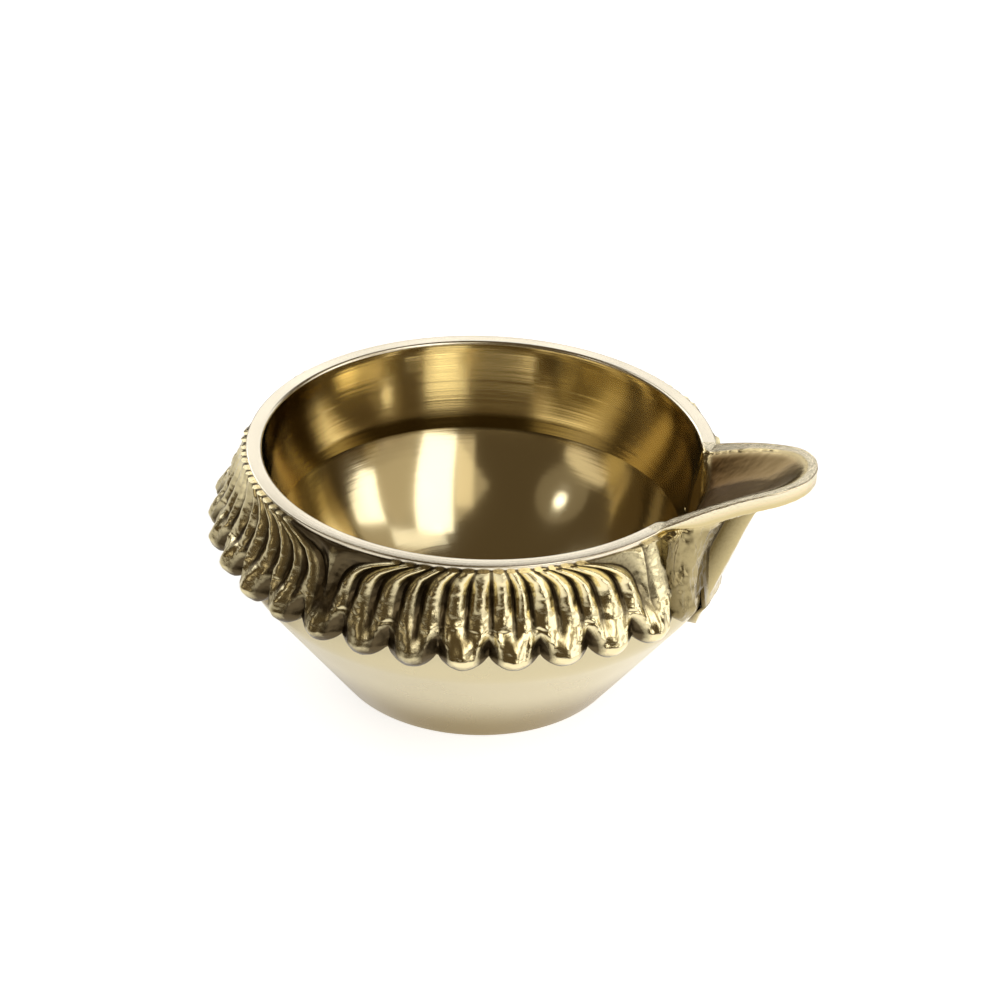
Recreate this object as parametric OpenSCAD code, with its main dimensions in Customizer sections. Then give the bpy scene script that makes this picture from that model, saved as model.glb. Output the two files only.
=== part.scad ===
// Kuber diya: a small brass oil lamp with one wick spout.
// A turned bowl holds the oil. A fluted collar stands on the bowl's shoulder, held under the lip of the rim.
// The spout fills a gap in the neck and the collar, and carries the wick out over the edge.
// Origin: middle of the foot, on the table. +Z is up, +X points along the spout.

/* [Bowl] */
// How far the rim lies inside the widest circle of the fringe
rim_inset = 4.8; // [4:0.1:6]
// Width of the rim's top
rim_w = 2; // [1.6:0.1:3]
// Height of the rim above the table
bowl_h = 32.6; // [30:0.1:38]
// Height of the lip that laps over the collar
lip_h = 0.6; // [0.5:0.1:1.2]
// Radius on the lip's two top edges
lip_round = 0.4; // [0.2:0.1:0.4]
// Thickness of the neck inside the collar
neck_w = 1; // [0.8:0.1:1.4]
// Diameter across the foot, where the flank would reach the table
foot_d = 36.4; // [30:0.2:44]
// Radius under the foot's edge
foot_round = 1.2; // [0.6:0.1:2]
// Thickness of the fringe in front of the bowl's shoulder
fringe_t = 3.5; // [3:0.1:3.8]
// Height where the flank reaches the shoulder
shoulder_z = 17.5; // [16:0.1:18.5]
// Height of the ledge that carries the collar and the spout
ledge_z = 23; // [22.4:0.1:24]
// Slope of the inner wall, in degrees from upright
wall_a = 10; // [4:0.5:12]
// Height where the inner wall runs into the round floor
well_z = 22.6; // [21:0.1:22.8]
// Thickness of the floor in the middle
floor_t = 2.2; // [2:0.1:4]

/* [Collar] */
// Diameter across the fringe, at its widest
skirt_d = 69.6; // [66:0.2:74]
// Height where the fringe is widest
skirt_z = 22; // [21.6:0.1:22.2]
// Height of the fringe's tips
fringe_z = 20.3; // [19.8:0.1:20.8]
// How far the collar's top edge stands out past the rim
collar_step = 0.7; // [0.5:0.1:1]
// Number of leaf fans round the collar
fans = 4; // [3:1:5]
// Flutes in each fan
flutes = 14; // [8:1:14]
// Lobes in the fringe of each fan
lobes = 7; // [4:1:9]
// Depth of the grooves between the flutes
flute_depth = 1.2; // [0.6:0.05:1.3]
// Depth of the hollows between the lobes
lobe_depth = 1.7; // [0.8:0.1:1.8]
// How far the lobes swell out in their middle
lobe_bulge = 0.4; // [0:0.1:0.6]
// Height of the notches between the lobes
notch_h = 1.8; // [1:0.1:2.6]
// Height of the lobes, from the fringe's tips up to the flutes
lobe_h = 5.2; // [4.6:0.1:5.8]

/* [Spout] */
// Half of the gap that the spout fills, in degrees
gap_a = 24; // [22:0.5:26]
// Half of the sector without fans, in degrees
apron_a = 30; // [28:0.5:34]
// Distance from the bowl's axis to the spout's tip
spout_reach = 43.5; // [41:0.5:50]
// Height of the spout's edge at its tip
spout_h = 38.1; // [35:0.1:42]
// Radius of the spout's round end
tip_r = 7.2; // [5:0.1:8]
// Radius of the corner where the spout's edge leaves the rim
corner_r = 2; // [1:0.1:4]
// Thickness of the spout's edge
edge_t = 2.2; // [1.6:0.1:2.6]
// Width of the flat along the spout's edge
edge_w = 1.6; // [1:0.1:2]
// Width of the slope from that flat to the channel's floor
slope_w = 4.4; // [3:0.1:5]
// Depth of the wick channel at the bowl
channel_depth = 3.4; // [2.6:0.1:4.4]
// Depth of the wick channel at the tip
tip_depth = 0.9; // [0.4:0.1:1.2]
// Radius of the channel's mouth, where it meets the bowl's inner wall
mouth_r = 2.4; // [1:0.1:3]
// Width of the plain keel under the spout
keel_w = 10; // [8:0.1:11]
// Height of the keel's lower tip
keel_z = 13; // [12:0.1:16]
// Thickness of the keel over the bowl's flank
keel_t = 1.8; // [1:0.1:2.2]
// How far the keel's top stands out past the rim
keel_step = 6.7; // [5.5:0.1:8]
// Depth of the groove beside the keel
keel_groove = 2.8; // [1.5:0.1:3]

/* [Hidden] */
// Clearance of the collar and the spout round the bowl
seat_gap = 0.06;
// Rows along the flutes, along the lobes, and columns for each flute
flute_rows = 7;
lobe_rows = 6;
flute_steps = 3;
// Columns across a gap between two fans, across an apron, and across the spout
spandrel_steps = 3;
apron_steps = 5;
spout_steps = 40;
// Rows across the channel and down the spout's flank
channel_rows = 12;
flank_rows = 12;
// Share of its sector that a fan spans at the top and at the fringe
fan_top = 0.62;
fan_end = 0.95;
// How fast a fan spreads below the rim
fan_power = 3.8;
// Shares of the relief left at the top of the flutes and at the fringe
relief_top = 0.35;
relief_end = 0.55;
// Shares of the flutes' length over which the relief grows and fades again
relief_grow = 0.4;
relief_fade = 0.33;
// Height of a bud between two fans, the depth of the ground round it, and the share of that ground beside it
bud_h = 0.5;
ground_depth = 0.6;
bud_side = 0.5;
// Folds in each apron, their depth, and the share of their length over which they grow
folds = 1;
fold_depth = 0.7;
fold_grow = 0.5;
// Share of an apron that runs into the ground of the next fan
apron_blend = 0.33;
// Roundness of the skirt: the straight share of its flare, and the curl under the fringe
flare = 0.63;
fringe_curl = 0.8;
// Roundness of the lobes, and the share of their height over which the hollows between them grow
lobe_power = 0.7;
lobe_grow = 0.8;
// Part of a lobe that lies past the end of a fan
lobe_past = 0.5;
// How fast the spout's edge rises from the rim, and the share of its length over which it grows thick
rise_power = 1.55;
edge_grow = 0.33;
// Share of the edge's thickness that is upright, and the share by which its underside is drawn in
edge_upright = 0.82;
edge_undercut = 0.06;
// Share of the keel's width that is flat, and how much narrower it is at the top
keel_flat = 0.5;
keel_taper = 0.45;
// Share of the flank that the keel's groove takes, and how far the flank lies behind the keel past it
groove_share = 0.62;
keel_stand = 0.8;
// How far the long lobe beside the keel hangs below the fringe
flank_drop = 1.3;
// Least thickness of the spout over the bowl
skin_t = 0.5;
brass = "#c8a951";
antique = "#a58b45";

rim_r = skirt_d / 2 - rim_inset;
bore_r = rim_r - rim_w;
neck_r = bore_r + neck_w;
foot_r = foot_d / 2;
shoulder_r = skirt_d / 2 - fringe_t;
skirt_r = skirt_d / 2;
back_r = shoulder_r + seat_gap;
collar_z = bowl_h - lip_h;
collar_r = rim_r + collar_step;
flute_z = fringe_z + lobe_h;
fan_a = (180 - apron_a) / fans;
// The inner wall's radius where it runs into the floor, and at the ledge
well_r = bore_r - (collar_z - well_z) * tan(wall_a);
bore_ledge_r = bore_r - (collar_z - ledge_z) * tan(wall_a);
floor_rise = well_z - floor_t;
floor_r = (well_r * well_r + floor_rise * floor_rise) / (2 * floor_rise);
floor_c = floor_t + floor_r;
// Angle between the flank and the table
flank_a = atan2(shoulder_z, shoulder_r - foot_r);

$fn = 180;

function unit(t) = max(0, min(1, t));
function ease(t) = unit(t) * unit(t) * (3 - 2 * unit(t));
function lerp(a, b, t) = a + (b - a) * t;
function wave(t) = abs(sin(180 * t));
// Grows from 0 to 1 over the first part of a length, or over its last part
function grow(t, part) = ease(t / part);
function grow_last(t, part) = ease((t - 1 + part) / part);
function polar(a, r, z) = [r * cos(a), r * sin(a), z];

// The bowl's outer radius at height z, below the ledge
function flank_r(z) = lerp(foot_r, shoulder_r, unit(z / shoulder_z));

// The skirt's outer radius at height z: a flare down to the fringe, which curls in below
function skirt_at(z) =
    z > skirt_z
    ? let (u = (collar_z - z) / (collar_z - skirt_z))
      lerp(collar_r, skirt_r, flare * u + (1 - flare) * u * u)
    : skirt_r - fringe_curl * pow((skirt_z - z) / (skirt_z - fringe_z), 2);

// Fringe: how full the lobe is at a position counted in lobes, from 0 in a notch to 1 in the middle
function lobe_full(n) = pow(wave(n), lobe_power);
function lobe_low(n) = fringe_z + notch_h * (1 - lobe_full(n));
function lobe_hollow(n, v) = lobe_depth * (1 - lobe_full(n)) * grow(v, lobe_grow);
function lobe_r(n, z, v) = skirt_at(z) + lobe_bulge * lobe_full(n) * wave(v) - lobe_hollow(n, v);

// A solid between rings of points, n rings in a row with m points in each, closed by its two end rings.
// Point "turn" is where a ring turns back: an end is a ladder, with rungs across the ring.
function ladder_faces(first, m, turn) = [
    for (k = [0:m / 2 - 2])
        let (a = (turn - k + m) % m, b = turn + k + 1, c = b + 1, d = (turn - k - 1 + m) % m)
        each [[first + a, first + b, first + c], [first + a, first + c, first + d]]];

function strip_faces(n, m) = [
    for (j = [0:n - 2], i = [0:m - 1])
        let (a = j * m + i, b = j * m + (i + 1) % m)
        each [[a, a + m, b + m], [a, b + m, b]]];

function backward(faces) = [for (f = faces) [f[2], f[1], f[0]]];

module strip_solid(rings, turn) {
    n = len(rings);
    m = len(rings[0]);
    polyhedron(
        points = [for (ring = rings, p = ring) p],
        faces = concat(
            ladder_faces(0, m, turn),
            strip_faces(n, m),
            backward(ladder_faces((n - 1) * m, m, turn))));
}

// Bowl

module foot_corner() {
    reach = foot_round / tan((180 - flank_a) / 2);
    polygon([
        [foot_r - reach, 0],
        [foot_r - reach, foot_round],
        [foot_r + reach * cos(flank_a), reach * sin(flank_a)],
        [foot_r, 0]]);
}

module bowl_outline() {
    difference() {
        polygon([
            [0, 0], [foot_r, 0], [shoulder_r, shoulder_z], [shoulder_r, ledge_z],
            [neck_r, ledge_z], [neck_r, collar_z + lip_h / 4], [0, collar_z + lip_h / 4]]);
        difference() {
            foot_corner();
            translate([foot_r - foot_round / tan((180 - flank_a) / 2), foot_round]) circle(foot_round);
        }
    }
    translate([bore_r, collar_z]) square([rim_w, lip_h - lip_round]);
    translate([bore_r + lip_round, collar_z]) square([rim_w - 2 * lip_round, lip_h]);
    for (x = [bore_r + lip_round, rim_r - lip_round])
        translate([x, bowl_h - lip_round]) circle(lip_round);
}

module well_outline() {
    polygon([[0, well_z], [well_r, well_z], [bore_r, collar_z], [bore_r, 2 * bowl_h], [0, 2 * bowl_h]]);
    intersection() {
        translate([0, floor_c]) circle(floor_r);
        square([bore_r, well_z]);
    }
}

module gap_wedge() {
    far = 2 * spout_reach;
    translate([0, 0, ledge_z])
        linear_extrude(bowl_h)
            polygon([[0, 0], far * [cos(gap_a), -sin(gap_a)], far * [cos(gap_a), sin(gap_a)]]);
}

module bowl() {
    color(brass)
        difference() {
            rotate_extrude()
                difference() {
                    bowl_outline();
                    well_outline();
                }
            gap_wedge();
        }
}

// Collar: a column runs down the relief. It is [middle of its fan, place across it, place on the ground].
// The fan goes from -1 to 1 across, and the ground from 0 at the fan's edge to 1 at the next fan's ground.

function fan_spread(t) = lerp(fan_top, fan_end, 1 - pow(1 - unit(t), fan_power));
function column_a(c, t) =
    c[0] + fan_a * (c[2] == 0 ? c[1] * fan_spread(t) : c[1] * lerp(fan_spread(t), 1, c[2]));

// A bud stands between two fans, near their tops
function bud(t) = bud_h * wave(sqrt(t));

function flute_relief(c, t) =
    let (fade = lerp(relief_top, 1, grow(t, relief_grow)) * lerp(1, relief_end, grow_last(t, relief_fade)))
    c[2] == 0
    ? flute_depth * (1 - wave((c[1] + 1) / 2 * flutes)) * fade
    : lerp(flute_depth * fade, ground_depth, c[2]) - bud(t) * grow_last(c[2], bud_side);

function fold_relief(n, t) = fold_depth * (1 - wave(n)) * lerp(relief_top, 1, grow(t, fold_grow));

function collar_section(a, relief, n) =
    let (low = lobe_low(n))
    concat(
        [for (i = [flute_rows:-1:0])
            let (t = i / flute_rows)
            polar(a[i], neck_r + seat_gap, lerp(collar_z, ledge_z, t))],
        [for (i = [0:flute_rows])
            let (z = lerp(collar_z, flute_z, i / flute_rows))
            polar(a[i], skirt_at(z) - relief[i], z)],
        [for (i = [1:lobe_rows])
            let (v = i / lobe_rows, z = lerp(flute_z, low, v))
            polar(a[flute_rows], lobe_r(n, z, v), z)],
        [polar(a[flute_rows], back_r, low), polar(a[flute_rows], back_r, ledge_z)]);

function fan_section(c) =
    let (
        rows = [for (i = [0:flute_rows]) i / flute_rows],
        a = [for (t = rows) column_a(c, t)])
    collar_section(
        a, [for (t = rows) flute_relief(c, t)],
        lobe_past + lobes * ((a[flute_rows] - c[0]) / fan_a + 1) / 2);

function apron_section(side, u) =
    let (
        rows = [for (i = [0:flute_rows]) i / flute_rows],
        a = [for (t = rows) side * lerp(gap_a, apron_a, u)],
        ground = [for (t = rows) fold_relief(u * folds, t)],
        edge = [for (t = rows) ground_depth - bud(t)])
    collar_section(
        a, [for (i = [0:flute_rows]) lerp(ground[i], edge[i], grow_last(u, apron_blend))],
        u * lobe_past);

function fan_columns(f) =
    let (middle = apron_a + (2 * f + 1) * fan_a)
    concat(
        [for (k = [spandrel_steps - 1:-1:1]) [middle, -1, k / spandrel_steps]],
        [for (j = [0:flutes * flute_steps]) [middle, 2 * j / (flutes * flute_steps) - 1, 0]],
        [for (k = [1:f < fans - 1 ? spandrel_steps : spandrel_steps - 1]) [middle, 1, k / spandrel_steps]]);

module leaf_collar() {
    color(antique)
        strip_solid(concat(
            [for (k = [0:apron_steps]) apron_section(1, k / apron_steps)],
            [for (f = [0:fans - 1], c = fan_columns(f)) fan_section(c)],
            [for (k = [apron_steps:-1:0]) apron_section(-1, k / apron_steps)]),
            flute_rows);
}

// Spout: its edge in plan leaves the rim in a round corner, runs straight, and is tangent to a round end.

root_x = rim_r * cos(gap_a);
corner_c = rim_r + corner_r;
corner = corner_c * [cos(gap_a), sin(gap_a)];
tip_x = spout_reach - tip_r;
taper_a = atan2(corner.y, tip_x - corner.x) - asin((tip_r + corner_r) / norm([tip_x - corner.x, corner.y]));
side_n = [sin(taper_a), cos(taper_a)];
side_c = tip_x * side_n.x + tip_r;
// Directions where the straight side meets the round end and the round corner
tangent_a = atan2(tip_r * side_n.y, tip_x + tip_r * side_n.x);
corner_a = atan2(corner.y - corner_r * side_n.y, corner.x - corner_r * side_n.x);

// Distance from the bowl's axis to the spout's edge, in direction a
function edge_r(a) =
    abs(a) > corner_a
    ? let (turn = gap_a - abs(a))
      corner_c * cos(turn) - sqrt(corner_r * corner_r - pow(corner_c * sin(turn), 2))
    : abs(a) > tangent_a
    ? side_c / sin(abs(a) + taper_a)
    : tip_x * cos(a) + sqrt(tip_r * tip_r - pow(tip_x * sin(a), 2));

// Distance from a point to the spout's edge
function edge_in(x, y) =
    let (p = [x, abs(y)], tip = [tip_x, 0], side_d = [side_n.y, -side_n.x])
    (p - tip) * side_d > 0 ? tip_r - norm(p - tip)
    : (p - corner) * side_d < 0 ? norm(p - corner) - corner_r
    : side_c - p * side_n;

function along(x) = unit((x - root_x) / (spout_reach - root_x));
function edge_z(x) = lerp(spout_h, bowl_h, pow(1 - along(x), rise_power));

// The spout's top: a flat edge, a soft channel that gets shallower to the tip, and a round mouth at the bowl
function sunk(x, y) = ease((edge_in(x, y) - edge_w) / slope_w);
function mouth_drop(past, r) = r - sqrt(r * r - pow(max(0, r - past), 2));
function channel_z(x, y) =
    edge_z(x) - lerp(channel_depth, tip_depth, along(x)) * sunk(x, y)
    - mouth_drop(max(0, norm([x, y]) - bore_r), lerp(lip_round, mouth_r, sunk(x, y)));

// The keel's outer radius at height z: it lies on the flank at its foot and reaches out under the spout
function keel_up(z) = unit((z - keel_z) / (collar_z - keel_z));
function keel_at(z) = lerp(flank_r(keel_z) + keel_t, rim_r + keel_step, keel_up(z));

// How much of the keel stands in direction a: all of it along the middle, none past its rounded sides
keel_half_a = asin(keel_w / 2 / skirt_r);
function keel_share(a, z) =
    ease((1 - abs(a) / keel_half_a / (1 - keel_taper * pow(keel_up(z), 2))) / (1 - keel_flat));

// Position of direction a on the flank beside the keel, from 0 at the keel to 1 at the collar
function flank_u(a) = unit((abs(a) - keel_half_a) / (gap_a - keel_half_a));

// The spout's lower edge: the keel's pointed foot, and one long lobe of the fringe on each side of it
function flank_low(a) =
    abs(a) < keel_half_a
    ? lerp(keel_z, lobe_low(0), pow(abs(a) / keel_half_a, 2))
    : lobe_low(flank_u(a)) - flank_drop * pow(wave(flank_u(a)), 2);

// The flank's outer radius: it runs from a groove beside the keel to the folds of the collar
function flank_at(a, z) =
    let (
        u = flank_u(a),
        t = (collar_z - z) / (collar_z - flute_z),
        v = unit((flute_z - z) / (flute_z - min(flank_low(a), skirt_z))),
        fold = fold_relief(u, t) * ease(u) + lobe_hollow(u, v),
        groove = (keel_groove - keel_stand) * (1 - grow(u, groove_share)),
        side = lerp(keel_at(z) - keel_stand, skirt_at(z) - fold, ease(u)) - groove)
    max(lerp(side, keel_at(z), keel_share(a, z)), flank_r(z) + seat_gap + skin_t);

function spout_section(a) =
    let (
        outer = edge_r(a),
        edge = edge_z(outer * cos(a)),
        thick = lerp(lip_h, edge_t, grow(along(outer * cos(a)), edge_grow)),
        low = flank_low(a),
        mid = low < shoulder_z ? shoulder_z : (low + ledge_z) / 2)
    concat(
        [polar(a, bore_ledge_r, ledge_z)],
        [for (i = [0:channel_rows])
            let (r = lerp(bore_r, outer, i / channel_rows))
            polar(a, r, channel_z(r * cos(a), r * sin(a)))],
        [polar(a, outer, edge - thick * edge_upright),
         polar(a, lerp(outer, rim_r, edge_undercut), edge - thick)],
        [for (i = [0:flank_rows])
            let (z = lerp(collar_z, low, i / flank_rows))
            polar(a, flank_at(a, z), z)],
        [polar(a, flank_r(low) + seat_gap, low),
         polar(a, flank_r(mid) + seat_gap, mid),
         polar(a, back_r, ledge_z)]);

module wick_spout() {
    color(brass)
        strip_solid(
            [for (k = [0:spout_steps]) spout_section(lerp(-gap_a, gap_a, k / spout_steps))],
            channel_rows);
}

bowl();
leaf_collar();
wick_spout();
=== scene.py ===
import math

import bmesh
import bpy
import numpy as np
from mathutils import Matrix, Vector, noise


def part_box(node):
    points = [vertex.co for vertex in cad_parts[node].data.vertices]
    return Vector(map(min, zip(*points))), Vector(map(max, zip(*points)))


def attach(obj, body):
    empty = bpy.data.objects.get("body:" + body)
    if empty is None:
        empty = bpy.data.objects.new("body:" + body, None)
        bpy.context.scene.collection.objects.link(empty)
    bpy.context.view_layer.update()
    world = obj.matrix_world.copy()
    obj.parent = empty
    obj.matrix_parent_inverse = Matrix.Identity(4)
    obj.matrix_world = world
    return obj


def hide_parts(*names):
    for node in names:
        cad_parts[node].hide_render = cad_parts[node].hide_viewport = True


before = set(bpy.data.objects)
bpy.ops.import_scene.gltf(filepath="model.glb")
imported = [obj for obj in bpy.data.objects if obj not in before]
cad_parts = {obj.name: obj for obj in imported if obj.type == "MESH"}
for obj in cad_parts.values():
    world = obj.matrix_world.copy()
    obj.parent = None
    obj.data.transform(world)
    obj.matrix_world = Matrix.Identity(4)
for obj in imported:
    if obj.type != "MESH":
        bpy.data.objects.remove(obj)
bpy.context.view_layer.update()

# Camera: a hand-held view from above the front, with the spout turned a little towards the lens.
# Directions are azimuth and elevation in degrees, where azimuth 0 looks along +Y with +X to the right.
mm = 0.001
view_azimuth = 20.0
view_elevation = 31.35
view_roll = 1.81
view_distance = 400 * mm
lamp_middle = Vector((0, 0, 16 * mm))
picture_width = 1000
focal_pixels = 3077.0
middle_left_of_centre = 20.9
middle_below_centre = 54.7


def direction(azimuth, elevation):
    """The way from the lamp to something at that azimuth and elevation."""
    a = math.radians(azimuth)
    e = math.radians(elevation)
    return Vector((math.sin(a) * math.cos(e), -math.cos(a) * math.cos(e), math.sin(e)))


def aim(thing, target, turn=0.0):
    """Turns a light or the camera to look at the target, and then about its own axis."""
    thing.rotation_euler = (target - thing.location).to_track_quat("-Z", "Y").to_euler()
    bpy.context.view_layer.update()
    thing.rotation_euler.rotate_axis("Z", math.radians(turn))
    bpy.context.view_layer.update()


camera_data = bpy.data.cameras.new("photo_camera")
camera_data.sensor_width = 36
camera_data.lens = camera_data.sensor_width * focal_pixels / picture_width
camera_data.clip_start = 10 * mm
camera = bpy.data.objects.new("photo_camera", camera_data)
bpy.context.scene.collection.objects.link(camera)
camera.location = lamp_middle + direction(view_azimuth, view_elevation) * view_distance
aim(camera, lamp_middle, view_roll)
pixel = view_distance / focal_pixels
framed = camera.matrix_world @ Vector(
    (middle_left_of_centre * pixel, middle_below_centre * pixel, -view_distance))
aim(camera, framed, view_roll)
bpy.context.scene.camera = camera

# Bowl: one brass casting, turned on a lathe. It has a flat foot, a conical flank, a shoulder with a ledge
# for the collar, a neck and a lip over the collar. The well is polished, with fine turning lines, and flank
# and rim are rubbed to a satin. Painted shade darkens the flank towards the foot, the left side of the well
# and of the shoulder round it, a band on the far wall just above the floor, the shoulder behind the fringe
# and the lip's underside.
bowl_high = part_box("bowl")[1]
rim_height = bowl_high.z
shoulder_radius = bowl_high.x
skirt_radius = shoulder_radius + 3.5 * mm
rim_radius = skirt_radius - 4.8 * mm
rim_width = 2 * mm
lip_height = 0.6 * mm
lip_round = 0.4 * mm
lip_edge = 0.2 * mm
bore_radius = rim_radius - rim_width
neck_radius = bore_radius + 1 * mm
collar_top = rim_height - lip_height
shoulder_height = 17.5 * mm
shoulder_round = 6 * mm
# Above this height, the shoulder behind the fringe is painted dark as shade.
shoulder_shade_height = 20.8 * mm
# Painted shade darkens the flank towards the foot, fading out up to this height.
foot_shade_height = 12 * mm
foot_shade_fade = 10 * mm
ledge_height = 23 * mm
foot_radius = 18.2 * mm
foot_round = 1.2 * mm
wall_slope = math.radians(10)
well_height = 20.6 * mm
floor_height = 3.4 * mm
least_wall = 1.5 * mm
# Painted shade on the left side of the well and of the shoulder, and in a band low on the far wall.
left_shade_azimuth = view_azimuth - 90
far_shade_azimuth = view_azimuth - 160
left_shade_radius = 19 * mm
left_shade_fade = 5 * mm
far_shade_height = 2.3 * mm
far_shade_fade = 0.7 * mm
far_shade_start = 0.3 * mm
gap_angle = math.radians(24)
bowl_steps = 360
# The third finish is painted shade, on the shoulder behind the fringe, the lip's underside and the neck's cut
# ends.
satin, polished, painted_shade, bright, rubbed = range(5)


def arc(middle, radius, start, end, steps):
    """Points of an arc in an outline, from the start angle to the end angle in degrees."""
    turns = np.radians(np.linspace(start, end, steps + 1))
    return [(middle[0] + radius * math.cos(a), middle[1] + radius * math.sin(a)) for a in turns]


def line(start, end, steps):
    """Points of a straight stretch, with both ends."""
    return [tuple(np.array(start) + (np.array(end) - np.array(start)) * k / steps) for k in range(steps + 1)]


flank_angle = math.degrees(math.atan2(shoulder_height, shoulder_radius - foot_radius))
foot_reach = foot_round * math.tan(math.radians(flank_angle / 2))
flank_start = (foot_radius + foot_reach * math.cos(math.radians(flank_angle)),
               foot_reach * math.sin(math.radians(flank_angle)))
shoulder_reach = shoulder_round * math.tan(math.radians(45 - flank_angle / 2))
flank_end = (shoulder_radius - shoulder_reach * math.cos(math.radians(flank_angle)),
             shoulder_height - shoulder_reach * math.sin(math.radians(flank_angle)))
ledge_bore_radius = bore_radius - (collar_top - ledge_height) * math.tan(wall_slope)
well_radius = bore_radius - (collar_top - well_height) * math.tan(wall_slope)
floor_drop = well_height - floor_height
floor_radius = (well_radius ** 2 + floor_drop ** 2) / (2 * floor_drop)
floor_middle = floor_height + floor_radius
floor_angle = math.degrees(math.atan2(floor_middle - well_height, well_radius))

flank_outline = (
    line((0, 0), (foot_radius - foot_reach, 0), 8)[:-1]
    + arc((foot_radius - foot_reach, foot_round), foot_round, -90, flank_angle - 90, 8)
    + line(flank_start, flank_end, 24)[1:]
    + arc((shoulder_radius - shoulder_round, shoulder_height + shoulder_reach), shoulder_round,
          flank_angle - 90, 0, 10)[1:]
    + [(shoulder_radius, shoulder_shade_height)])
shoulder_outline = [(shoulder_radius, ledge_height), (neck_radius, ledge_height)]
under_outline = [(neck_radius, collar_top), (rim_radius, collar_top)]
lip_outline = (
    arc((rim_radius - lip_edge, rim_height - lip_edge), lip_edge, 0, 90, 8)
    + arc((bore_radius + lip_round, rim_height - lip_round), lip_round, 90, 180, 12))
bore_outline = line((bore_radius, collar_top), (ledge_bore_radius, ledge_height), 10)[:-1]
well_outline = (
    line((ledge_bore_radius, ledge_height), (well_radius, well_height), 8)
    + arc((0, floor_middle), floor_radius, -floor_angle, -90, 56)[1:])


def turned(stretches, angles, first):
    """Turns stretches of (outline, finish): points, faces numbered from first, and the faces' finishes."""
    outline = [p for points, finish in stretches for p in points]
    finishes = [finish for points, finish in stretches for p in points]
    count = len(outline)
    points = [(r * math.cos(a), r * math.sin(a), z) for a in angles for r, z in outline]
    faces = []
    kinds = []
    for j in range(len(angles) - 1):
        for i in range(count - 1):
            p = first + j * count + i
            faces.append((p, p + count, p + count + 1, p + 1))
            kinds.append(finishes[i + 1])
    return points, faces, kinds


def make_mesh(name, points, faces, values=None, kinds=None, crease=38):
    """A smooth object from points in metres, with named values on its points and a finish for each face."""
    mesh = bpy.data.meshes.new(name)
    mesh.from_pydata([tuple(p) for p in points], [], faces)
    for key, data in (values or {}).items():
        mesh.attributes.new(key, "FLOAT", "POINT").data.foreach_set("value", np.asarray(data, np.float32))
    if kinds:
        mesh.polygons.foreach_set("material_index", kinds)
    shell = bmesh.new()
    shell.from_mesh(mesh)
    bmesh.ops.remove_doubles(shell, verts=shell.verts, dist=0.0005 * mm)
    bmesh.ops.recalc_face_normals(shell, faces=shell.faces)
    shell.to_mesh(mesh)
    shell.free()
    mesh.shade_smooth()
    mesh.set_sharp_from_angle(angle=math.radians(crease))
    thing = bpy.data.objects.new(name, mesh)
    bpy.context.scene.collection.objects.link(thing)
    return thing


gap_steps = 2 * round(bowl_steps * gap_angle / (2 * math.pi))
open_angles = np.linspace(gap_angle, 2 * math.pi - gap_angle, bowl_steps - gap_steps + 1)
gap_angles = np.linspace(-gap_angle, gap_angle, gap_steps + 1)
outside = [(flank_outline, satin), (shoulder_outline, painted_shade)]
inside = [(well_outline, polished)]
neck = [(under_outline, painted_shade), (lip_outline, rubbed), (bore_outline, bright)]
ring_points, ring_faces, ring_kinds = turned(outside + neck + inside, open_angles, 0)
gap_points, gap_faces, gap_kinds = turned(outside + inside, gap_angles, len(ring_points))
neck_first = len(flank_outline) + len(shoulder_outline) - 1
neck_ring = list(range(neck_first, neck_first + len(under_outline + lip_outline + bore_outline) + 2))
last_column = len(ring_points) - len(ring_points) // len(open_angles)
neck_ends = [tuple(neck_ring), tuple(last_column + i for i in reversed(neck_ring))]
bowl_points = ring_points + gap_points


def ease(t):
    t = np.clip(t, 0, 1)
    return t * t * (3 - 2 * t)


def bowl_painted_shade(x, y, z):
    """Painted shade on the bowl: it darkens towards the foot, on the left side of the well and of the
    shoulder round it, and in a band on the far wall, just above the floor."""
    r = math.hypot(x, y)
    outer = shoulder_radius - (shoulder_radius - foot_radius) * max(0, 1 - z / shoulder_height)
    if z > shoulder_height or (z > least_wall and r < outer - least_wall):
        way = Vector((x, y, 0)).normalized()
        beside = way.dot(direction(left_shade_azimuth, 0))
        behind = way.dot(direction(far_shade_azimuth, 0))
        left_shade = ease((beside - 0.66) / 0.22) * ease((r - left_shade_radius) / left_shade_fade)
        far_shade = ease((behind - 0.3) / 0.5) * ease((z - well_height) / far_shade_start + 1)
        far_shade *= ease((well_height + far_shade_height - z) / far_shade_fade)
        return float(max(left_shade, far_shade))
    return float(ease((foot_shade_height - z) / foot_shade_fade))


bowl = make_mesh("turned_bowl", bowl_points, ring_faces + gap_faces + neck_ends,
                 {"oxide_and_shade": [bowl_painted_shade(*p) for p in bowl_points]},
                 ring_kinds + gap_kinds + [painted_shade, painted_shade], crease=10)


def new_material(name):
    """A material with its own shader, and the tree to add nodes in."""
    material = bpy.data.materials.new(name)
    material.use_nodes = True
    return material, material.node_tree, material.node_tree.nodes["Principled BSDF"]


def add_node(tree, kind, **settings):
    """A node with its settings. What is no property goes to the input of that name, as a link or a value."""
    node = tree.nodes.new(kind)
    for key, value in settings.items():
        if hasattr(node, key):
            setattr(node, key, value)
        elif isinstance(value, bpy.types.NodeSocket):
            tree.links.new(value, node.inputs[key.replace("_", " ")])
        else:
            node.inputs[key.replace("_", " ")].default_value = value
    return node


def math_node(tree, operation, *values):
    """A Math node on links or numbers."""
    node = tree.nodes.new("ShaderNodeMath")
    node.operation = operation
    for k, value in enumerate(values):
        if isinstance(value, bpy.types.NodeSocket):
            tree.links.new(value, node.inputs[k])
        else:
            node.inputs[k].default_value = value
    return node.outputs[0]


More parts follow.
